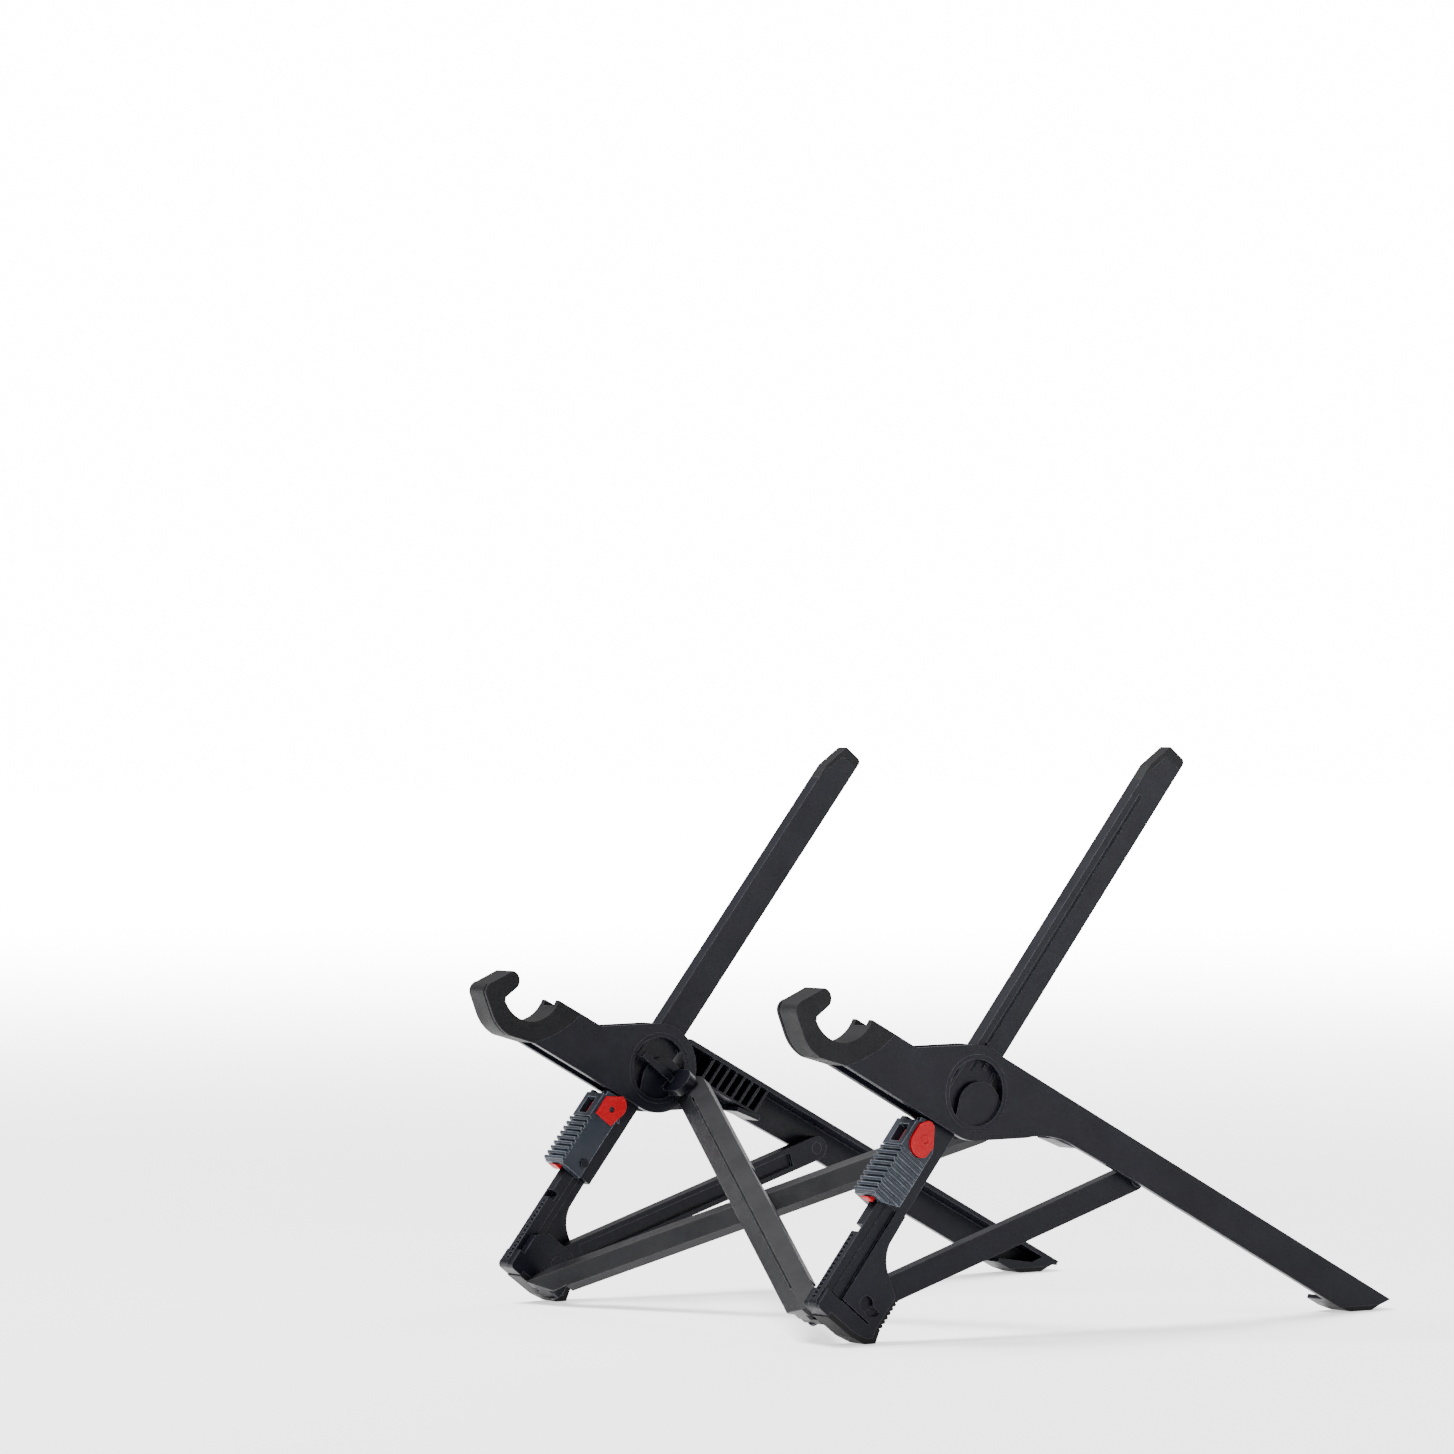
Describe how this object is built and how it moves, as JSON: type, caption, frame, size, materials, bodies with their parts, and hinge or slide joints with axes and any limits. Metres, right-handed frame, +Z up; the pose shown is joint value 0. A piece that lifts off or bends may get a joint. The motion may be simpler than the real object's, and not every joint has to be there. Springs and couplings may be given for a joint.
{
  "type": "folding laptop stand",
  "caption": "Folding laptop riser: two side frames with hooked arms, sliding hubs and lock grips, joined by crossed bars that fold scissor fashion.",
  "frame": {"origin": "on the desk, under the middle of the bounding box with the stand open", "axes": "+X to the right-hand side frame, +Y from the laptop hooks to the rear feet, +Z up"},
  "size_m": [0.2336, 0.297, 0.2292],
  "materials": {
    "frame_plastic": "satin",
    "crossbar_plastic": "fine texture",
    "rubber": "matte",
    "grip_plastic": "satin",
    "red_plastic": "semi-gloss",
    "pin_steel": "dark satin"
  },
  "bodies": {
    "base": {"post_right": "frame_plastic", "top_pad_right": "rubber", "foot_sole_right": "rubber", "foot_pin_right": "frame_plastic", "foot_hinge_pin_right": "pin_steel"},
    "frame_left": {"post_left": "frame_plastic", "top_pad_left": "rubber", "foot_sole_left": "rubber", "foot_pin_left": "frame_plastic", "foot_hinge_pin_left": "pin_steel"},
    "crossbar_front": {"crossbar_front": "crossbar_plastic", "centre_pin": "pin_steel"},
    "crossbar_rear": {"crossbar_rear": "crossbar_plastic"},
    "carriage_right": {"carriage_right": "frame_plastic", "hub_hinge_pin_right": "pin_steel"},
    "arm_right": {"arm_right": "frame_plastic", "hook_pad_right": "rubber", "rear_sole_right": "rubber"},
    "brace_right": {"brace_right": "frame_plastic", "brace_pin_right": "frame_plastic"},
    "grip_right": {"grip_right": "grip_plastic", "latch_plate_right": "red_plastic", "grip_pin_right": "frame_plastic", "pawl_right": "red_plastic"},
    "button_right": {"lock_button_right": "red_plastic"},
    "carriage_left": {"carriage_left": "frame_plastic", "hub_hinge_pin_left": "pin_steel"},
    "arm_left": {"arm_left": "frame_plastic", "hook_pad_left": "rubber", "rear_sole_left": "rubber"},
    "brace_left": {"brace_left": "frame_plastic", "brace_pin_left": "frame_plastic"},
    "grip_left": {"grip_left": "grip_plastic", "latch_plate_left": "red_plastic", "grip_pin_left": "frame_plastic", "pawl_left": "red_plastic"},
    "button_left": {"lock_button_left": "red_plastic"}
  },
  "joints": [
    {"name": "fold", "type": "hinge", "parent": "base", "child": "crossbar_front", "pos_m": [0.0957, -0.12065, 0.00643], "axis": [0, 0.7837, -0.6211], "range_deg": [0, 57.7]},
    {"name": "crossing", "type": "hinge", "parent": "crossbar_front", "child": "crossbar_rear", "pos_m": [0, -0.08813, 0.04746], "axis": [0, 0.7837, -0.6211], "range_deg": [-115.4, 0]},
    {"name": "foot_left", "type": "hinge", "parent": "crossbar_rear", "child": "frame_left", "pos_m": [-0.0957, -0.12065, 0.00643], "axis": [0, 0.7837, -0.6211], "range_deg": [0, 57.7]},
    {"name": "hub_pin_right", "type": "hinge", "parent": "crossbar_rear", "child": "carriage_right", "pos_m": [0.0957, -0.05561, 0.08848], "axis": [0, 0.7837, -0.6211], "range_deg": [0, 57.7]},
    {"name": "hub_pin_left", "type": "hinge", "parent": "crossbar_front", "child": "carriage_left", "pos_m": [-0.0957, -0.05561, 0.08848], "axis": [0, 0.7837, -0.6211], "range_deg": [-57.7, 0]},
    {"name": "arm_right", "type": "hinge", "parent": "carriage_right", "child": "arm_right", "pos_m": [0.11, -0.06277, 0.09491], "axis": [-1, 0, 0], "range_deg": [0, 92.6]},
    {"name": "brace_right", "type": "hinge", "parent": "base", "child": "brace_right", "pos_m": [0.11, -0.11344, 0.01552], "axis": [1, 0, 0], "range_deg": [0, 30.6]},
    {"name": "grip_right", "type": "slide", "parent": "carriage_right", "child": "grip_right", "axis": [0, -0.6211, -0.7837], "range_m": [0, 0.006], "stiffness_N_per_m": 300, "springref_m": -0.001},
    {"name": "button_right", "type": "slide", "parent": "grip_right", "child": "button_right", "axis": [-1, 0, 0], "range_m": [0, 0.0013], "stiffness_N_per_m": 500, "springref_m": -0.0004},
    {"name": "arm_left", "type": "hinge", "parent": "carriage_left", "child": "arm_left", "pos_m": [-0.11, -0.06277, 0.09491], "axis": [-1, 0, 0], "range_deg": [0, 92.6]},
    {"name": "brace_left", "type": "hinge", "parent": "frame_left", "child": "brace_left", "pos_m": [-0.11, -0.11344, 0.01552], "axis": [1, 0, 0], "range_deg": [0, 30.6]},
    {"name": "grip_left", "type": "slide", "parent": "carriage_left", "child": "grip_left", "axis": [0, -0.6211, -0.7837], "range_m": [0, 0.006], "stiffness_N_per_m": 300, "springref_m": -0.001},
    {"name": "button_left", "type": "slide", "parent": "grip_left", "child": "button_left", "axis": [1, 0, 0], "range_m": [0, 0.0013], "stiffness_N_per_m": 500, "springref_m": -0.0004}
  ],
  "couplings": [
    {"joint": "crossing", "follows": "fold", "ratio": -2},
    {"joint": "foot_left", "follows": "fold", "ratio": 1},
    {"joint": "hub_pin_right", "follows": "fold", "ratio": 1},
    {"joint": "hub_pin_left", "follows": "fold", "ratio": -1},
    {"joint": "arm_right", "follows": "fold", "ratio": 1.6049},
    {"joint": "brace_right", "follows": "fold", "ratio": 0.53033},
    {"joint": "arm_left", "follows": "fold", "ratio": 1.6049},
    {"joint": "brace_left", "follows": "fold", "ratio": 0.53033}
  ]
}
